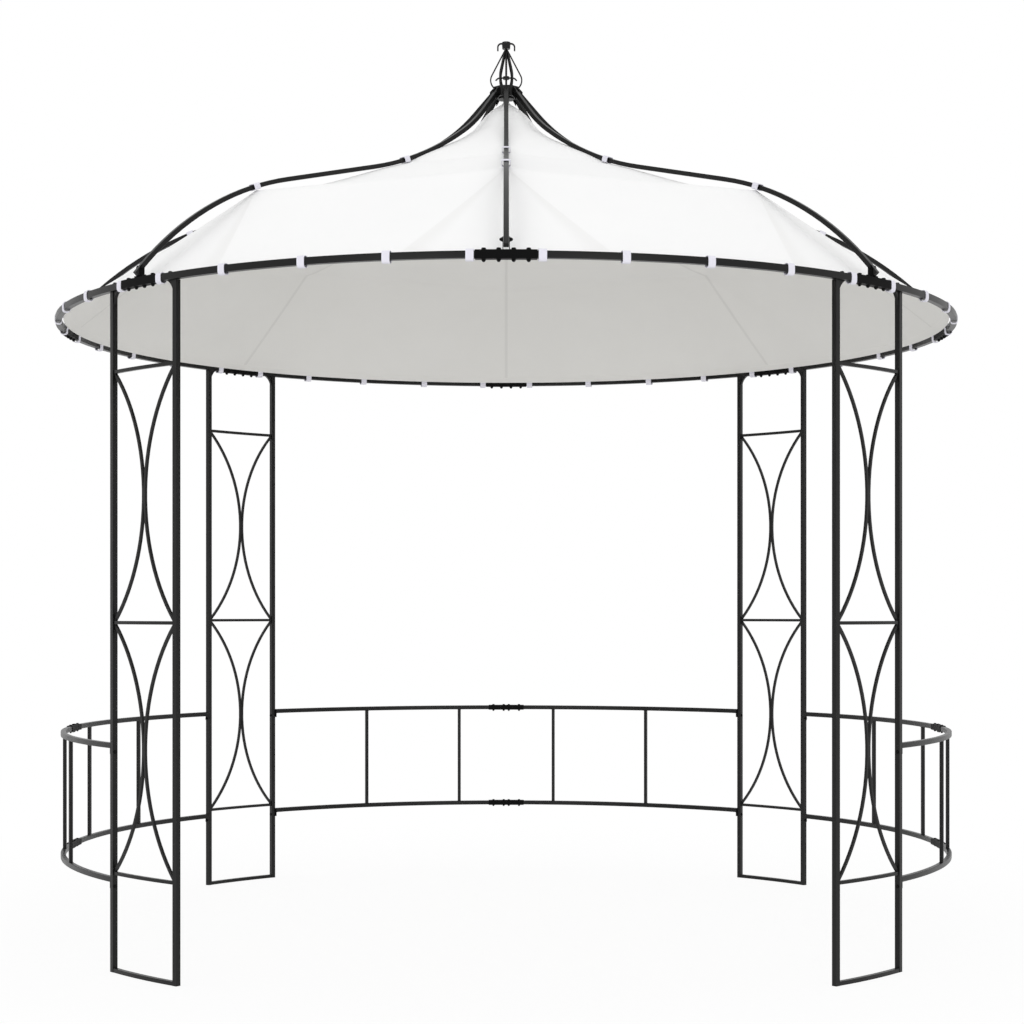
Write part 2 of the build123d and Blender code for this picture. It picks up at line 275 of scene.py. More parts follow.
def new_group(name, inputs, outputs):
    """Empty shader group with named sockets for numbers: (name, default) in, names out."""
    group = bpy.data.node_groups.new(name, "ShaderNodeTree")
    for socket_name, default in inputs:
        socket = group.interface.new_socket(socket_name, in_out="INPUT", socket_type="NodeSocketFloat")
        socket.default_value = default
    for socket_name in outputs:
        group.interface.new_socket(socket_name, in_out="OUTPUT", socket_type="NodeSocketFloat")
    start = group.nodes.new("NodeGroupInput")
    end = group.nodes.new("NodeGroupOutput")
    return group, start, end


def add_node(tree, kind, links=(), **settings):
    """New node with its settings, and inputs given as (socket, value or output socket)."""
    node = tree.nodes.new(kind)
    for key, value in settings.items():
        setattr(node, key, value)
    for socket, source in links:
        if hasattr(source, "is_output"):
            tree.links.new(source, node.inputs[socket])
        else:
            node.inputs[socket].default_value = source
    return node


def math_node(tree, operation, first, second=0.5, third=0.5):
    """Result of a sum on one, two or three numbers."""
    links = [(0, first), (1, second), (2, third)]
    return add_node(tree, "ShaderNodeMath", links, operation=operation).outputs[0]


def make_mottle_group():
    """Cloudy variation from 0 to 1 over the surface, broad and fine together."""
    group, start, end = new_group("mottle", [("Size", 0.2), ("Detail", 4.0)], ["Value"])
    place = add_node(group, "ShaderNodeTexCoord").outputs["Object"]
    scale = math_node(group, "DIVIDE", 1.0, start.outputs["Size"])
    noise = add_node(
        group, "ShaderNodeTexNoise",
        [("Vector", place), ("Scale", scale), ("Detail", start.outputs["Detail"]), ("Roughness", 0.6)],
    )
    group.links.new(noise.outputs["Fac"], end.inputs["Value"])
    return group


def make_orange_peel_group():
    """Fine pebbled skin of baked powder coat."""
    group, start, end = new_group("orange_peel", [("Size", skin_grain)], ["Height"])
    place = add_node(group, "ShaderNodeTexCoord").outputs["Object"]
    scale = math_node(group, "DIVIDE", 1.0, start.outputs["Size"])
    grain = [("Vector", place), ("Scale", scale)]
    bumps = add_node(group, "ShaderNodeTexVoronoi", grain, feature="SMOOTH_F1")
    noise = add_node(group, "ShaderNodeTexNoise", [*grain, ("Detail", 2.0)])
    height = math_node(group, "MULTIPLY", bumps.outputs["Distance"], noise.outputs["Fac"])
    group.links.new(height, end.inputs["Height"])
    return group


def make_weave_group():
    """Plain weave of warp and weft threads, laid out in the cloth's own metres."""
    group, start, end = new_group("weave", [("Thread", cloth_thread), ("Slub", 0.2)], ["Height", "Gap"])
    flat = add_node(group, "ShaderNodeTexCoord").outputs["UV"]
    split = add_node(group, "ShaderNodeSeparateXYZ", [(0, flat)])
    turn = math_node(group, "DIVIDE", pi, start.outputs["Thread"])
    warp_turn = math_node(group, "MULTIPLY", split.outputs["X"], turn)
    weft_turn = math_node(group, "MULTIPLY", split.outputs["Y"], turn)
    warp = math_node(group, "ABSOLUTE", math_node(group, "SINE", warp_turn))
    weft = math_node(group, "ABSOLUTE", math_node(group, "SINE", weft_turn))
    warp_beat = math_node(group, "COSINE", warp_turn)
    weft_beat = math_node(group, "COSINE", weft_turn)
    cross = math_node(group, "MULTIPLY", warp_beat, weft_beat)
    over = math_node(group, "MULTIPLY_ADD", cross, 0.5, 0.5)
    slub_noise = add_node(
        group, "ShaderNodeTexNoise",
        [("Vector", flat), ("Scale", slubs_per_metre), ("Detail", 2.0)],
    )
    slub = math_node(group, "MULTIPLY", slub_noise.outputs["Fac"], start.outputs["Slub"])
    raised = math_node(group, "MAXIMUM", math_node(group, "MULTIPLY", warp, over), weft)
    height = math_node(group, "ADD", raised, slub)
    gap = math_node(group, "SUBTRACT", 1.0, math_node(group, "MAXIMUM", warp, weft))
    group.links.new(height, end.inputs["Height"])
    group.links.new(gap, end.inputs["Gap"])
    return group


def make_stitch_group():
    """Two rows of stitches along a strip, laid out across (X) and along (Y) it in metres."""
    group, start, end = new_group(
        "stitches", [("Width", 0.012), ("Inset", 0.002), ("Pitch", 0.004)], ["Mask"]
    )
    flat = add_node(group, "ShaderNodeTexCoord").outputs["UV"]
    split = add_node(group, "ShaderNodeSeparateXYZ", [(0, flat)])
    far_edge = math_node(group, "SUBTRACT", start.outputs["Width"], split.outputs["X"])
    from_edge = math_node(group, "MINIMUM", split.outputs["X"], far_edge)
    from_row = math_node(group, "SUBTRACT", from_edge, start.outputs["Inset"])
    off_row = math_node(group, "ABSOLUTE", from_row)
    closeness = math_node(group, "DIVIDE", stitch_half_thread, off_row)
    row = math_node(group, "SMOOTH_MIN", closeness, 1.0, 0.5)
    along = math_node(group, "DIVIDE", split.outputs["Y"], start.outputs["Pitch"])
    beat = math_node(group, "FRACT", along)
    dash = math_node(group, "LESS_THAN", beat, stitch_dash_share)
    group.links.new(math_node(group, "MULTIPLY", row, dash), end.inputs["Mask"])
    return group


def make_painted_fold_shade_group():
    """Shade painted into the colour inside the folds that fan out from a tie to the hem, on a gore laid
    out in metres.
    """
    group, start, end = new_group(
        "painted_fan_fold_shade", [("Tie Across", 0.41), ("Tie Along", 1.2), ("Fall", 0.5), ("Reach", 0.13)], ["Mask"]
    )
    flat = add_node(group, "ShaderNodeTexCoord").outputs["UV"]
    split = add_node(group, "ShaderNodeSeparateXYZ", [(0, flat)])
    fallen = math_node(group, "SUBTRACT", split.outputs["Y"], start.outputs["Tie Along"])
    share = math_node(group, "DIVIDE", fallen, start.outputs["Fall"])
    from_middle = math_node(group, "ABSOLUTE", split.outputs["X"])
    inwards = math_node(group, "SUBTRACT", start.outputs["Tie Across"], from_middle)
    fall_share = math_node(group, "MAXIMUM", share, fold_top_shares[0])
    spread_out = math_node(group, "DIVIDE", inwards, fall_share)
    place = math_node(group, "DIVIDE", spread_out, start.outputs["Reach"])
    ramps = []
    for value, (low, high) in (
        (place, fold_rise_shares), (place, fold_end_shares), (share, fold_top_shares)
    ):
        ramp = add_node(
            group, "ShaderNodeMapRange", [("Value", value), ("From Min", low), ("From Max", high)],
            interpolation_type="SMOOTHSTEP",
        )
        ramps.append(ramp.outputs["Result"])
    mask = math_node(group, "MULTIPLY", math_node(group, "MULTIPLY", ramps[0], ramps[1]), ramps[2])
    group.links.new(mask, end.inputs["Mask"])
    return group


mottle_group = make_mottle_group()
orange_peel_group = make_orange_peel_group()
weave_group = make_weave_group()
stitch_group = make_stitch_group()
painted_fold_shade_group = make_painted_fold_shade_group()


# Materials

def new_material(name):
    """New material with its node tree and its shader."""
    material = bpy.data.materials.new(name)
    material.use_nodes = True
    tree = material.node_tree
    return material, tree, tree.nodes["Principled BSDF"]


def use_group(tree, group, **values):
    """Place a shader group in a material, with its own values."""
    node = add_node(tree, "ShaderNodeGroup", node_tree=group)
    for socket, value in values.items():
        node.inputs[socket].default_value = value
    return node


def two_tone(tree, factor, first, second):
    """Colour between two tones, by a value from 0 to 1."""
    mix = add_node(tree, "ShaderNodeMix", data_type="RGBA")
    tree.links.new(factor, mix.inputs["Factor"])
    mix.inputs["A"].default_value = (*first, 1)
    mix.inputs["B"].default_value = (*second, 1)
    return mix.outputs["Result"]


def laid_over(tree, mask, tone, colour):
    """Tone with a colour laid over it where the mask is 1."""
    mix = add_node(tree, "ShaderNodeMix", data_type="RGBA")
    tree.links.new(mask, mix.inputs["Factor"])
    tree.links.new(tone, mix.inputs["A"])
    mix.inputs["B"].default_value = (*colour, 1)
    return mix.outputs["Result"]


def spread(tree, value, low, high):
    """Value from 0 to 1 stretched between two limits."""
    node = add_node(tree, "ShaderNodeMapRange", [("Value", value), ("To Min", low), ("To Max", high)])
    return node.outputs["Result"]


def bump_from(tree, shader, height, depth):
    """Relief on a shader from a height, as deep as depth in metres."""
    links = [("Height", height), ("Distance", depth), ("Strength", bump_strength)]
    bump = add_node(tree, "ShaderNodeBump", links)
    tree.links.new(bump.outputs["Normal"], shader.inputs["Normal"])


def make_powder_coat(name, dark, light, roughness, sheen):
    """Dark powder coat: pebbled skin, slight clouds in tone and gloss."""
    material, tree, shader = new_material(name)
    clouds = use_group(tree, mottle_group, Size=0.12, Detail=5.0).outputs["Value"]
    specks = use_group(tree, mottle_group, Size=0.004, Detail=3.0).outputs["Value"]
    skin = use_group(tree, orange_peel_group, Size=skin_grain).outputs["Height"]
    tone = two_tone(tree, math_node(tree, "MULTIPLY", clouds, specks), dark, light)
    tree.links.new(tone, shader.inputs["Base Color"])
    tree.links.new(spread(tree, clouds, *roughness), shader.inputs["Roughness"])
    shader.inputs["Specular IOR Level"].default_value = sheen
    bump_from(tree, shader, skin, skin_depth)
    return material


def make_cloth(name, pale, deep, thread=cloth_thread, strip=None, folds=None):
    """Woven cloth with thread relief, shade painted into the gaps between the threads and soft clouds of
    tone; strip is the width of a stitched strip.
    """
    material, tree, shader = new_material(name)
    clouds = use_group(tree, mottle_group, Size=0.35, Detail=5.0).outputs["Value"]
    weave = use_group(tree, weave_group, Thread=thread, Slub=0.35)
    # The gaps between the threads are painted darker, as shade, with random clouds of tone on top
    shade = math_node(tree, "MULTIPLY_ADD", weave.outputs["Gap"], gap_shade_share, clouds)
    tone = two_tone(tree, shade, pale, deep)
    height = weave.outputs["Height"]
    if strip:
        stitches = use_group(tree, stitch_group, Width=strip).outputs["Mask"]
        stitch_tone = [min(value * stitch_tone_share, stitch_tone_limit) for value in pale]
        tone = laid_over(tree, stitches, tone, stitch_tone)
        height = math_node(tree, "MULTIPLY_ADD", stitches, stitch_rise, height)
    # Shade painted darker into the cloth's colour inside the fan folds
    if folds:
        shade_mask = use_group(tree, painted_fold_shade_group, **folds).outputs["Mask"]
        tone = laid_over(tree, shade_mask, tone, [value * painted_fold_shade_share for value in pale])
    tree.links.new(tone, shader.inputs["Base Color"])
    tree.links.new(spread(tree, clouds, *cloth_roughness), shader.inputs["Roughness"])
    shader.inputs["Specular IOR Level"].default_value = cloth_sheen
    bump_from(tree, shader, height, thread * thread_relief_share)
    return material


# Roof lines

def rib_height(radius):
    """Middle of the front rib, up and down, at a distance from the axis."""
    rib = frame["nodes"]["rib_front"]
    start = Vector((0, -radius, 0))
    far = Vector((0, -radius, 2 * cad_high.z))
    under = rib.ray_cast(start, Vector((0, 0, 1)))[1]
    over = rib.ray_cast(far, Vector((0, 0, -1)))[1]
    return (under.z + over.z) / 2


def rib_slope(radius):
    """Steepness of the front rib, positive where it rises towards the middle."""
    step = 0.01
    return atan2(rib_height(radius - step) - rib_height(radius + step), 2 * step)


def under_rib(radius, drop):
    """Radius and height of a point below the rib, square to it."""
    slope = rib_slope(radius)
    return radius - drop * sin(slope), rib_height(radius) - drop * cos(slope)


peak = (0.0, peak_height)
upper_tie = under_rib(upper_strap_radius, ridge_drop)
lower_tie = under_rib(lower_strap_radius, ridge_drop)


def hung(first, last, share, slack):
    """Radius and height on a line between two ties, let down by its slack."""
    radius = first[0] + (last[0] - first[0]) * share
    height = first[1] + (last[1] - first[1]) * share
    return radius, height - slack * sag_scale


def ridge_rows():
    """Ridge of the cloth down to the lower tie: a full crown, a hollow below it, slack above the tie."""
    rows = []
    for step in range(1, peak_rows + 1):
        share = step / peak_rows
        radius, height = hung(peak, upper_tie, share, peak_sag * share * (1 - share) ** 2)
        crown = min(radius / crown_reach, 1.0)
        rows.append((radius, height + crown_bulge * sin(pi * crown) ** 2))
    for step in range(1, middle_rows + 1):
        share = step / middle_rows
        rows.append(hung(upper_tie, lower_tie, share, middle_sag * share ** 2 * (1 - share)))
    return rows


def distance(first, second):
    """Distance between two points of two coordinates."""
    return hypot(second[0] - first[0], second[1] - first[1])


rows = ridge_rows()
ridge_steps = [distance(before, after) for before, after in zip([peak] + rows, rows)]
ridge_length = sum(ridge_steps)
fall = distance(lower_tie, (hem_radius, hem_height))
tie_across = lower_tie[0] * sin(gore / 2)
fan_reach = tie_across - hem_radius * sin(gore / 2 - fan_angle)


def ridge_point(number, row):
    """Point of a row on a ridge, or between two ridges where the number isn't whole."""
    return around(number * gore) @ Vector((0, -row[0], row[1]))


def upper_point(number, column, row):
    """Point from one ridge to the next: a straight run of cloth, drawn round near the peak."""
    share = column / main_columns
    straight = ridge_point(number, row).lerp(ridge_point(number + 1, row), share)
    curved = ridge_point(number + share, row)
    return straight.lerp(curved, max(0.0, 1 - row[0] / crown_round))


def hem_point(angle):
    """Point on the round hem."""
    return around(angle) @ Vector((0, -hem_radius, hem_height))


def let_down(top, bottom, share):
    """Point from the line of the lower ties to the hem, on cloth that hangs a little slack."""
    place = top.lerp(bottom, share)
    place.z -= lower_belly * 4 * share * (1 - share)
    return place


def lower_columns():
    """Columns below the lower tie, as (top column, hem turn): two fans and the flat between them."""
    fan = [fan_angle * step / fan_columns for step in range(fan_columns)]
    first_fan = [(0, turn) for turn in fan]
    flat_turn = gore - 2 * fan_angle
    flat = [(step, fan_angle + flat_turn * step / main_columns) for step in range(main_columns + 1)]
    last_fan = [(main_columns, gore - turn) for turn in reversed(fan)]
    return first_fan + flat + last_fan


columns = lower_columns()
per_gore = len(columns) - 1


def lower_point(number, column, share):
    """Point between the line of the lower ties and the hem."""
    top_column, turn = columns[column]
    top = upper_point(number, top_column, rows[-1])
    return let_down(top, hem_point(number * gore + turn), share)


# Canopy

def make_canopy():
    """One sheet of eight gores from the peak to the round hem."""
    bm = bmesh.new()
    flat = bm.loops.layers.uv.new("cloth")
    top = bm.verts.new((0, 0, peak_height))
    upper_places = [(number, column) for number in range(rib_count) for column in range(main_columns)]
    lower_places = [(number, column) for number in range(rib_count) for column in range(per_gore)]
    upper = [[bm.verts.new(upper_point(*place, row)) for place in upper_places] for row in rows]
    lower = [
        [bm.verts.new(lower_point(*place, step / lower_rows)) for place in lower_places]
        for step in range(1, lower_rows + 1)
    ]
    along = {top: 0.0}
    gone = 0.0
    for step, line in zip(ridge_steps, upper):
        gone += step
        along.update(dict.fromkeys(line, gone))
    for step, line in enumerate(lower, start=1):
        along.update(dict.fromkeys(line, gone + fall * step / lower_rows))

    def lay_face(number, corners):
        face = bm.faces.new(list(dict.fromkeys(corners)))
        across = around((number + 0.5) * gore) @ Vector((1, 0, 0))
        for loop in face.loops:
            loop[flat].uv = (loop.vert.co.dot(across), along[loop.vert])

    for number in range(rib_count):
        for column in range(main_columns):
            here = number * main_columns + column
            after = (here + 1) % len(upper[0])
            lay_face(number, (top, upper[0][here], upper[0][after]))
            for line, next_line in zip(upper, upper[1:]):
                lay_face(number, (line[here], next_line[here], next_line[after], line[after]))
        for column in range(per_gore):
            here = number * per_gore + column
            after = (here + 1) % len(lower[0])
            first_tie, last_tie = (
                upper[-1][(number * main_columns + top_column) % len(upper[0])]
                for top_column, turn in columns[column:column + 2]
            )
            lay_face(number, (first_tie, lower[0][here], lower[0][after], last_tie))
            for line, next_line in zip(lower, lower[1:]):
                lay_face(number, (line[here], next_line[here], next_line[after], line[after]))
    mesh = bpy.data.meshes.new("canopy_cloth")
    bm.normal_update()
    bm.to_mesh(mesh)
    bm.free()
    mesh.shade_smooth()
    canopy = add_piece("canopy_sheet", mesh, "canopy_cloth", cloth_top, cloth_under_painted_shade)
    shell = canopy.modifiers.new("cloth_thickness", "SOLIDIFY")
    shell.thickness = cloth_thickness
    shell.offset = -1
    # The inner face takes the underside material: the white cloth with the shade under the canopy painted
    # into its colour
    shell.material_offset = 1
    shell.material_offset_rim = 0
    return canopy


def strip_mesh(name, lines, thickness, closed=False):
    """Flat strips through lines of cross rows of points, with real thickness."""
    bm = bmesh.new()
    flat = bm.loops.layers.uv.new("cloth")
    for line in lines:
        verts = [[bm.verts.new(point) for point in row] for row in line]
        count = len(verts)
        gone = 0.0
        for index in range(count if closed else count - 1):
            here, after = verts[index], verts[(index + 1) % count]
            step = (after[0].co - here[0].co).length
            wide = 0.0
            for side in range(len(here) - 1):
                face = bm.faces.new((here[side], after[side], after[side + 1], here[side + 1]))
                next_wide = wide + (here[side + 1].co - here[side].co).length
                places = ((wide, gone), (wide, gone + step), (next_wide, gone + step), (next_wide, gone))
                for loop, place in zip(face.loops, places):
                    loop[flat].uv = place
                wide = next_wide
            gone += step
    thicken(bm, thickness)
    return mesh_from(name, bm)


def beside_ridge(number, offset):
    """Points down the cloth at a distance to one side of a ridge."""
    side = 1 if offset > 0 else -1
    line = []
    for row in rows:
        ridge = ridge_point(number, row)
        run = (ridge_point(number + side, row) - ridge).length
        column = min(abs(offset) / run, 0.5) * main_columns
        if side > 0:
            line.append(upper_point(number, column, row))
        else:
            line.append(upper_point(number - 1, main_columns - column, row))
    tie = ridge_point(number, rows[-1])
    for step in range(1, lower_rows + 1):
        share = step / lower_rows
        turn = min(abs(offset) / (hem_radius * share), fan_angle)
        line.append(let_down(tie, hem_point(number * gore + side * turn), share))
    return line


def make_seams():
    """Flat felled seams along the eight ridges, on both faces of the cloth."""
    lines = {seam_top_lift: [], seam_under_lift: []}
    for number in range(rib_count):
        edges = [beside_ridge(number, share * seam_half_width) for share in seam_shares]
        for lift in lines:
            rise = Vector((0, 0, lift))
            lines[lift].append([[point + rise for point in cross] for cross in zip(*edges)])
    pieces = []
    for name, lift, material in (
        ("canopy_seams_top", seam_top_lift, seam_top), ("canopy_seams_under", seam_under_lift, seam_under)
    ):
        mesh = strip_mesh(name, lines[lift], seam_thickness)
        pieces.append(add_piece(name, mesh, "canopy_cloth", material))
    return pieces


def make_hem():
    """Hem turned up on both faces of the canopy's edge."""
    inner = 1 - hem_width / fall
    pieces = []
    for name, lift, material in (
        ("canopy_hem_top", seam_top_lift, hem_top), ("canopy_hem_under", seam_under_lift, hem_under)
    ):
        rise = Vector((0, 0, lift))
        line = [
            [lower_point(number, column, share) + rise for share in (1.0, inner)]
            for number in range(rib_count) for column in range(per_gore)
        ]
        mesh = strip_mesh(name, [line], seam_thickness, closed=True)
        pieces.append(add_piece(name, mesh, "canopy_cloth", material))
    return pieces


# Straps

def lay_band(bm, flat, place, path):
    """Band of webbing along a path of (x, z) points, its width along the place's own Y."""
    gone = 0.0
    edges = [
        [bm.verts.new(place @ Vector((x, side * strap_width / 2, z))) for side in (-1, 1)]
        for x, z in path
    ]
    for before, after, first, second in zip(edges, edges[1:], path, path[1:]):
        step = distance(first, second)
        face = bm.faces.new((before[0], before[1], after[1], after[0]))
        corners = ((0, gone), (strap_width, gone), (strap_width, gone + step), (0, gone + step))
        for loop, corner in zip(face.loops, corners):
            loop[flat].uv = corner
        gone += step


def rounded_loop(half_width, top, bottom, start, turn, squareness):
    """Points round a tube with softly squared corners, by angle from start through turn."""
    path = []
    for step in range(loop_steps + 1):
        angle = start + turn * step / loop_steps
        across, up = cos(angle), sin(angle)
        tall = top if up > 0 else bottom
        scale = (abs(across) ** squareness + abs(up) ** squareness) ** (-1 / squareness)
        path.append((across * scale * half_width, up * scale * tall))
    return path


def ring_strap_ends():
    """Both ends of a ring strap, laid on the hem one over the other."""
    hem_x = hem_radius - ring_radius
    hem_z = hem_height - ring_height
    hem_slope = (lower_tie[1] - hem_height) / (hem_radius - lower_tie[0])
    over = [
        (hem_x - over_end_length, hem_z + over_end_length * hem_slope + over_end_lift),
        (hem_x + over_end_reach, hem_z + over_end_lift),
    ]
    under = [
        (hem_x + under_bend_reach, hem_z + under_bend_lift),
        (hem_x, hem_z + under_end_lift),
        (hem_x - under_end_length, hem_z + under_end_length * hem_slope + under_end_lift),
    ]
    return over, under


def make_ring_straps():
    """Forty webbing ties: each wraps the ring and is sewn to the hem by both ends."""
    bm = bmesh.new()
    flat = bm.loops.layers.uv.new("cloth")
    draw = Random(ring_strap_seed)
    first = end_strap_arc / ring_radius
    steps = [first, *(share * gore for share in middle_strap_shares), gore - first]
    over, under = ring_strap_ends()
    outwards = Matrix.Rotation(-pi / 2, 4, "Z")
    for side in (-1, 1):
        for number in range(rib_count // 2):
            for step in steps:
                slack = draw.uniform(*ring_strap_slack)
                wrap = rounded_loop(
                    ring_strap_side, ring_strap_top + slack, ring_strap_bottom + slack,
                    ring_strap_start, ring_strap_turn, ring_strap_squareness,
                )
                lean = Matrix.Rotation(draw.uniform(-ring_strap_lean, ring_strap_lean), 4, "X")
                place = around(side * (number * gore + step), ring_radius, ring_height)
                lay_band(bm, flat, place @ outwards @ lean, over + wrap + under)
    thicken(bm, webbing)
    piece = add_piece("ring_strap_webbing", mesh_from("ring_straps", bm), "strap_webbing", webbing_white)
    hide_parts("ring_straps")


def make_rib_straps():
    """Two webbing loops on each rib, sewn to the ridge seam below."""
    bm = bmesh.new()
    flat = bm.loops.layers.uv.new("cloth")
    draw = Random(rib_strap_seed)
    side = rib_half_width + rib_strap_side
    bottom = ridge_drop - webbing
    start = -pi / 2 + rib_strap_gap
    turn = tau - 2 * rib_strap_gap
    for number in range(rib_count):
        for radius in (upper_strap_radius, lower_strap_radius):
            top = rib_strap_top + draw.uniform(*rib_strap_slack)
            wrap = rounded_loop(side, top, bottom, start, turn, rib_strap_squareness)
            tilt = Matrix.Rotation(rib_slope(radius), 4, "X")
            lay_band(bm, flat, around(number * gore, radius, rib_height(radius)) @ tilt, wrap)
    thicken(bm, webbing)
    piece = add_piece("rib_strap_webbing", mesh_from("rib_straps", bm), "strap_webbing", webbing_white)
    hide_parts("rib_straps")


# Bolts

def lathe(bm, profile, sides, place):
    """Turn steps of (radius, height) round the place's own Z."""
    turns = [tau * step / sides for step in range(sides)]
    rings = []
    for radius, height in profile:
        rings.append([
            bm.verts.new(place @ Vector((radius * cos(turn), radius * sin(turn), height)))
            for turn in (turns if radius else turns[:1])
        ])
    for low, high in zip(rings, rings[1:]):
        for here in range(sides):
            after = (here + 1) % sides
            corners = (
                low[here % len(low)], low[after % len(low)],
                high[after % len(high)], high[here % len(high)],
            )
            bm.faces.new(list(dict.fromkeys(corners)))


def add_washer(bm, place, radius, height):
    """Round washer."""
    lathe(bm, [(0, 0), (radius, 0), (radius, height), (0, height)], washer_sides, place)


def add_hexagon(bm, place, radius, height, top_share, shoulder_share=0.85):
    """Hexagon with its upper corners cut back from the shoulder to the top."""
    shoulder = (radius, height * shoulder_share)
    top = (radius * top_share, height)
    lathe(bm, [(0, 0), (radius, 0), shoulder, top, (0, height)], hexagon_sides, place)


def bolt_head(bm, place, size):
    """Hexagon head on a thin washer."""
    width, height = size
    half = width / 2
    add_washer(bm, place, radius=half * 1.25, height=height * 0.25)
    add_hexagon(bm, place, half, height, top_share=0.82)


def dome_nut(bm, place, size):
    """Hexagon nut with a domed cap, on a thin washer."""
    width, height = size
    half = width / 2
    base = height * 0.5
    dome_radius = half * 0.84
    dome_start = base * 0.5
    dome_foot = base * 0.9
    add_washer(bm, place, radius=half * 1.2, height=height * 0.12)
    add_hexagon(bm, place, half, base, top_share=0.86)
    rises = [step * pi / (2 * dome_steps) for step in range(dome_steps)]
    dome = [(dome_radius * cos(rise), dome_foot + (height - dome_foot) * sin(rise)) for rise in rises]
    lathe(bm, [(0, dome_start), *dome, (0, height)], dome_sides, place)


def shifted(x=0.0, z=0.0):
    """Shift along the place's own X and Z."""
    return Matrix.Translation((x, 0, z))


def facing(side):
    """Turn that points a bolt along the place's own X, to the right or to the left."""
    return Matrix.Rotation(side * pi / 2, 4, "Y")


downwards = Matrix.Rotation(pi, 4, "X")


def make_ring_bolts():
    """Four bolts down through each ring joint, and one down into each post's flare."""
    bm = bmesh.new()
    for number in range(rib_count):
        for offset in ring_bolt_offsets:
            angle = number * gore + offset / ring_radius
            bolt_head(bm, around(angle, ring_radius, ring_height + joint_half), joint_bolt)
            dome_nut(bm, around(angle, ring_radius, ring_height - joint_half) @ downwards, joint_nut)
    for number in range(1, rib_count, 2):
        for side in (-1, 1):
            post = around(number * gore + side * post_from_corner, ring_radius, ring_height + ring_half)
            bolt_head(bm, post @ shifted(x=-side * flare_bolt_offset), flare_bolt)
    add_piece("ring_bolts", mesh_from("ring_bolts", bm), "frame_steel", bolt_steel)


def make_rib_bolts():
    """Cross bolts with cap nuts, at the ears on the ring and at the lugs on the hub."""
    bm = bmesh.new()
    reach = rib_half_width + cheek
    ends = (
        (ring_radius, joint_high.z - ear_radius, ear_nut),
        (lug_bolt_radius, lug_bolt_height, lug_nut),
    )
    for number in range(rib_count):
        for radius, height, nut in ends:
            place = around(number * gore, radius, height)
            for side in (-1, 1):
                dome_nut(bm, place @ shifted(x=side * reach) @ facing(side), nut)
    add_piece("rib_bolts", mesh_from("rib_bolts", bm), "frame_steel", bolt_steel)


def make_rail_bolts():
    """Bolts down through the rail sleeves, and through the rail tabs into the posts."""
    bm = bmesh.new()
    heights = (rail_low.z + rail_sleeve_half, rail_high.z - rail_sleeve_half)
    post_turn = gore - post_from_corner
    tab_reach = post_half + tab_thickness
    for quarter in (1, 2, 3):
        middle = quarter * pi / 2
        for height in heights:
            for offset in rail_bolt_offsets:
                place = around(middle + offset / rail_radius, rail_radius, height)
                bolt_head(bm, place @ shifted(z=rail_sleeve_half), rail_bolt)
                dome_nut(bm, place @ shifted(z=-rail_sleeve_half) @ downwards, rail_nut)
            for side in (-1, 1):
                post = around(middle + side * post_turn, post_radius, height - tab_bolt_drop)
                dome_nut(bm, post @ shifted(x=-side * tab_reach) @ facing(-side), tab_nut)
                bolt_head(bm, post @ shifted(x=side * post_half) @ facing(side), rail_bolt)
    add_piece("rail_bolts", mesh_from("rail_bolts", bm), "frame_steel", bolt_steel)


# Steel nodes

def round_corners(node):
    """Rounded corners of drawn tube on a long node of the frame, by modifiers alone."""
    weld = node.modifiers.new("joined_corners", "WELD")
    weld.merge_threshold = weld_distance
    bevel = node.modifiers.new("rounded_corners", "BEVEL")
    bevel.width = corner_round
    bevel.segments = corner_segments
    bevel.limit_method = "ANGLE"
    bevel.angle_limit = corner_angle
    bevel.use_clamp_overlap = False
    even = node.modifiers.new("even_shading", "WEIGHTED_NORMAL")
    even.keep_sharp = True


# Floor, light and camera

def seen_directly(tree):
    """1 for rays from the eye, also by way of gloss or glass, and 0 for light that spreads."""
    path = add_node(tree, "ShaderNodeLightPath").outputs
    seen = math_node(tree, "MAXIMUM", path["Is Camera Ray"], path["Is Glossy Ray"])
    return math_node(tree, "MAXIMUM", seen, path["Is Transmission Ray"])


def make_floor_finish():
    """Pale floor that fades to white away from the gazebo and keeps its shadow."""
    material, tree, shader = new_material("pale_floor")
    shader.inputs["Base Color"].default_value = (floor_tone, floor_tone, floor_tone, 1)
    shader.inputs["Roughness"].default_value = 0.9
    shader.inputs["Specular IOR Level"].default_value = 0.1
    place = add_node(tree, "ShaderNodeTexCoord").outputs["Object"]
    away = add_node(tree, "ShaderNodeVectorMath", [(0, place)], operation="LENGTH").outputs["Value"]
    fade = add_node(
        tree, "ShaderNodeMapRange",
        [
            ("Value", away), ("From Min", floor_fade_start), ("From Max", floor_fade_end),
            ("To Min", floor_white_near), ("To Max", floor_white_far),
        ],
        interpolation_type="SMOOTHSTEP",
    ).outputs["Result"]
    white = add_node(tree, "ShaderNodeEmission", [("Color", (1, 1, 1, 1)), ("Strength", 1.0)])
    mix = add_node(tree, "ShaderNodeMixShader")
    tree.links.new(math_node(tree, "MULTIPLY", seen_directly(tree), fade), mix.inputs[0])
    tree.links.new(shader.outputs[0], mix.inputs[1])
    tree.links.new(white.outputs[0], mix.inputs[2])
    tree.links.new(mix.outputs[0], tree.nodes["Material Output"].inputs["Surface"])
    return material


def make_floor():
    """Wide round floor under the gazebo."""
    bm = bmesh.new()
    bmesh.ops.create_circle(bm, cap_ends=True, segments=floor_sides, radius=floor_radius)
    mesh = bpy.data.meshes.new("floor")
    bm.to_mesh(mesh)
    bm.free()
    floor = bpy.data.objects.new("floor", mesh)
    bpy.context.scene.collection.objects.link(floor)
    mesh.materials.append(make_floor_finish())


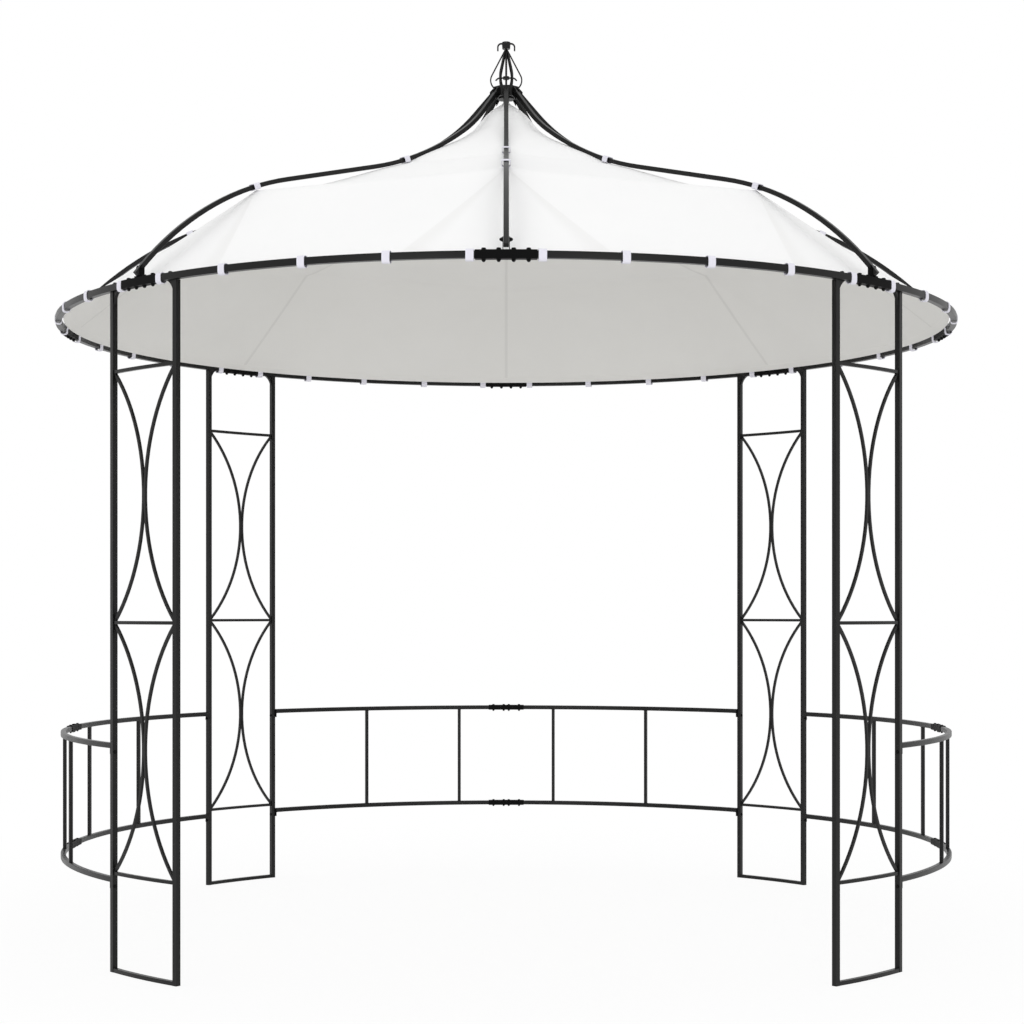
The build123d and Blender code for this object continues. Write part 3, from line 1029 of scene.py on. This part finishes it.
def make_world():
    """White surround for the eye and for gloss, with a slightly softer even light on the gazebo."""
    world = bpy.data.worlds.new("studio")
    bpy.context.scene.world = world
    world.use_nodes = True
    tree = world.node_tree
    shader = tree.nodes["Background"]
    strength = spread(tree, seen_directly(tree), surround_light, surround_white)
    tree.links.new(strength, shader.inputs["Strength"])
    shader.inputs["Color"].default_value = (1, 1, 1, 1)


def add_softbox(name, place, aim, size, power):
    """Round soft lamp that the camera doesn't see."""
    lamp = bpy.data.lights.new(name, "AREA")
    lamp.shape = "DISK"
    lamp.size = size
    lamp.energy = power
    holder = bpy.data.objects.new(name, lamp)
    holder.location = place
    holder.rotation_euler = (Vector(aim) - Vector(place)).to_track_quat("-Z", "Y").to_euler()
    holder.visible_camera = False
    bpy.context.scene.collection.objects.link(holder)


def make_camera():
    """Level camera in front of the entrance, at the photograph's viewing angle."""
    lens = bpy.data.cameras.new("photo_view")
    lens.lens = camera_lens
    lens.shift_x, lens.shift_y = camera_shift
    camera = bpy.data.objects.new("photo_view", lens)
    camera.location = camera_place
    camera.rotation_euler = (pi / 2, 0, 0)
    bpy.context.scene.collection.objects.link(camera)
    bpy.context.scene.camera = camera


# Finishes of this gazebo
tube_steel = make_powder_coat(
    "powder_coated_tube", dark=(0.0032, 0.0032, 0.0031), light=(0.0070, 0.0069, 0.0067),
    roughness=(0.30, 0.42), sheen=0.23,
)
sleeve_steel = make_powder_coat(
    "powder_coated_sleeves", dark=(0.003, 0.003, 0.003), light=(0.006, 0.006, 0.006),
    roughness=(0.46, 0.60), sheen=0.05,
)
bolt_steel = make_powder_coat(
    "blackened_bolts", dark=(0.004, 0.004, 0.004), light=(0.008, 0.008, 0.008),
    roughness=(0.36, 0.48), sheen=0.08,
)
# The top cloth is white, with shade painted into its fan folds
cloth_top = make_cloth(
    "canopy_top_white", pale=(0.93, 0.93, 0.925), deep=(0.89, 0.892, 0.893),
    folds={"Tie Across": tie_across, "Tie Along": ridge_length, "Fall": fall, "Reach": fan_reach},
)
# The underside is the same white cloth as the top, painted a darker warm grey for the shade that falls
# under the canopy
cloth_under_painted_shade = make_cloth(
    "canopy_underside_painted_shade", pale=(0.755, 0.747, 0.720), deep=(0.712, 0.704, 0.679),
)
seam_top = make_cloth(
    "canopy_seam_top_white", pale=(0.92, 0.92, 0.915), deep=(0.88, 0.882, 0.883),
    strip=2 * seam_half_width,
)
# The seams underneath are the white cloth painted with the underside's shade, and a little darker again
# as a line of shade along each ridge
seam_under = make_cloth(
    "canopy_seam_under_painted_shade", pale=(0.688, 0.680, 0.656), deep=(0.648, 0.641, 0.618),
    strip=2 * seam_half_width,
)
hem_top = make_cloth(
    "canopy_hem_top_white", pale=(0.93, 0.93, 0.925), deep=(0.89, 0.892, 0.893),
    strip=hem_width,
)
# The hem underneath is the white cloth with the same painted shade as the underside
hem_under = make_cloth(
    "canopy_hem_under_painted_shade", pale=(0.750, 0.742, 0.715), deep=(0.707, 0.699, 0.674),
    strip=hem_width,
)
webbing_white = make_cloth(
    "strap_webbing_white", pale=(0.78, 0.77, 0.84), deep=(0.735, 0.725, 0.795),
    thread=webbing_thread,
)

soft_nodes = ("canopy", "rib_straps", "ring_straps")
for name, node in frame["nodes"].items():
    if name not in soft_nodes:
        node.material_slots[0].material = sleeve_steel if "joint" in name else tube_steel
        if name.startswith(("rib_", "ring_segment", "railing_")):
            round_corners(node)

canopy_sheet = make_canopy()
canopy_seams = make_seams()
canopy_hem = make_hem()
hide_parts("canopy")
make_ring_straps()
make_rib_straps()
make_ring_bolts()
make_rib_bolts()
make_rail_bolts()

make_floor()
make_world()
for name, settings in softboxes.items():
    add_softbox(name, *settings)
make_camera()
bpy.context.scene.view_settings.view_transform = "Standard"
